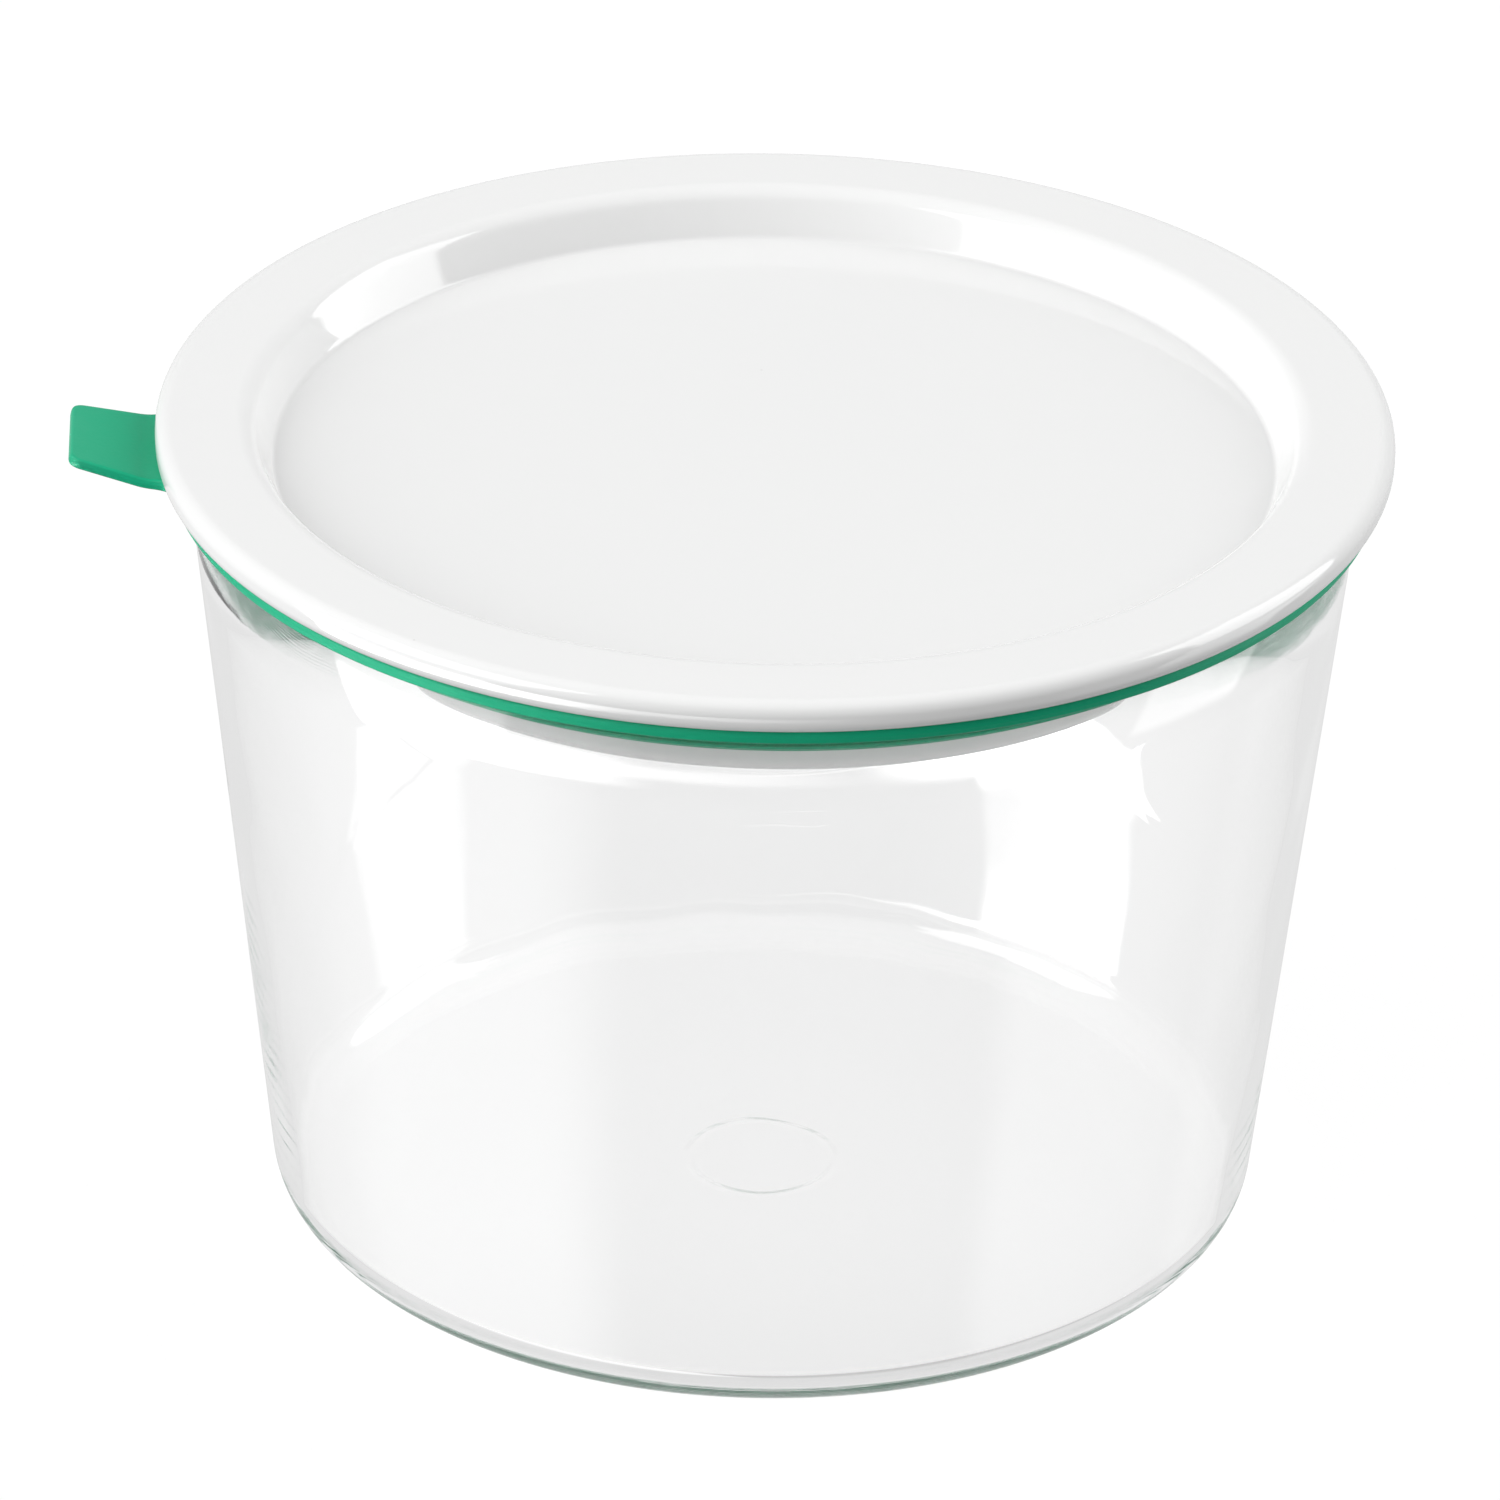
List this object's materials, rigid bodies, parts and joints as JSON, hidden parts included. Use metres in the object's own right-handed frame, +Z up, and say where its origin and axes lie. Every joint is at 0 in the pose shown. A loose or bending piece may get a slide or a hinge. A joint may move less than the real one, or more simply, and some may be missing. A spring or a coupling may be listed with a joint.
{
  "type": "lidded glass storage bowl",
  "caption": "Round tapered clear glass food storage bowl with a white porcelain plate lid that plugs into a green silicone seal ring with a pull tab.",
  "frame": {"origin": "centre of the flat underside of the glass bowl's base", "axes": "+Z up along the bowl's axis of revolution; the seal's pull tab points along -X"},
  "size_m": [0.1924, 0.18, 0.1255],
  "materials": {
    "bowl_glass": "clear, gloss",
    "seal_silicone": "satin",
    "lid_porcelain": "gloss glaze"
  },
  "bodies": {
    "bowl": {"glass_bowl": "bowl_glass"},
    "seal": {"seal_ring": "seal_silicone"},
    "tab": {"pull_tab": "seal_silicone"},
    "lid": {"lid": "lid_porcelain"}
  },
  "joints": [
    {"name": "seal_lift", "type": "slide", "parent": "bowl", "child": "seal", "axis": [0, 0, 1], "range_m": [0, 0.12]},
    {"name": "lid_lift", "type": "slide", "parent": "seal", "child": "lid", "axis": [0, 0, 1], "range_m": [0, 0.05]},
    {"name": "tab_flex", "type": "hinge", "parent": "seal", "child": "tab", "pos_m": [-0.0915, 0, 0.1194], "axis": [0, 1, 0], "range_deg": [-60, 70], "stiffness_Nm_per_rad": 0.02}
  ]
}
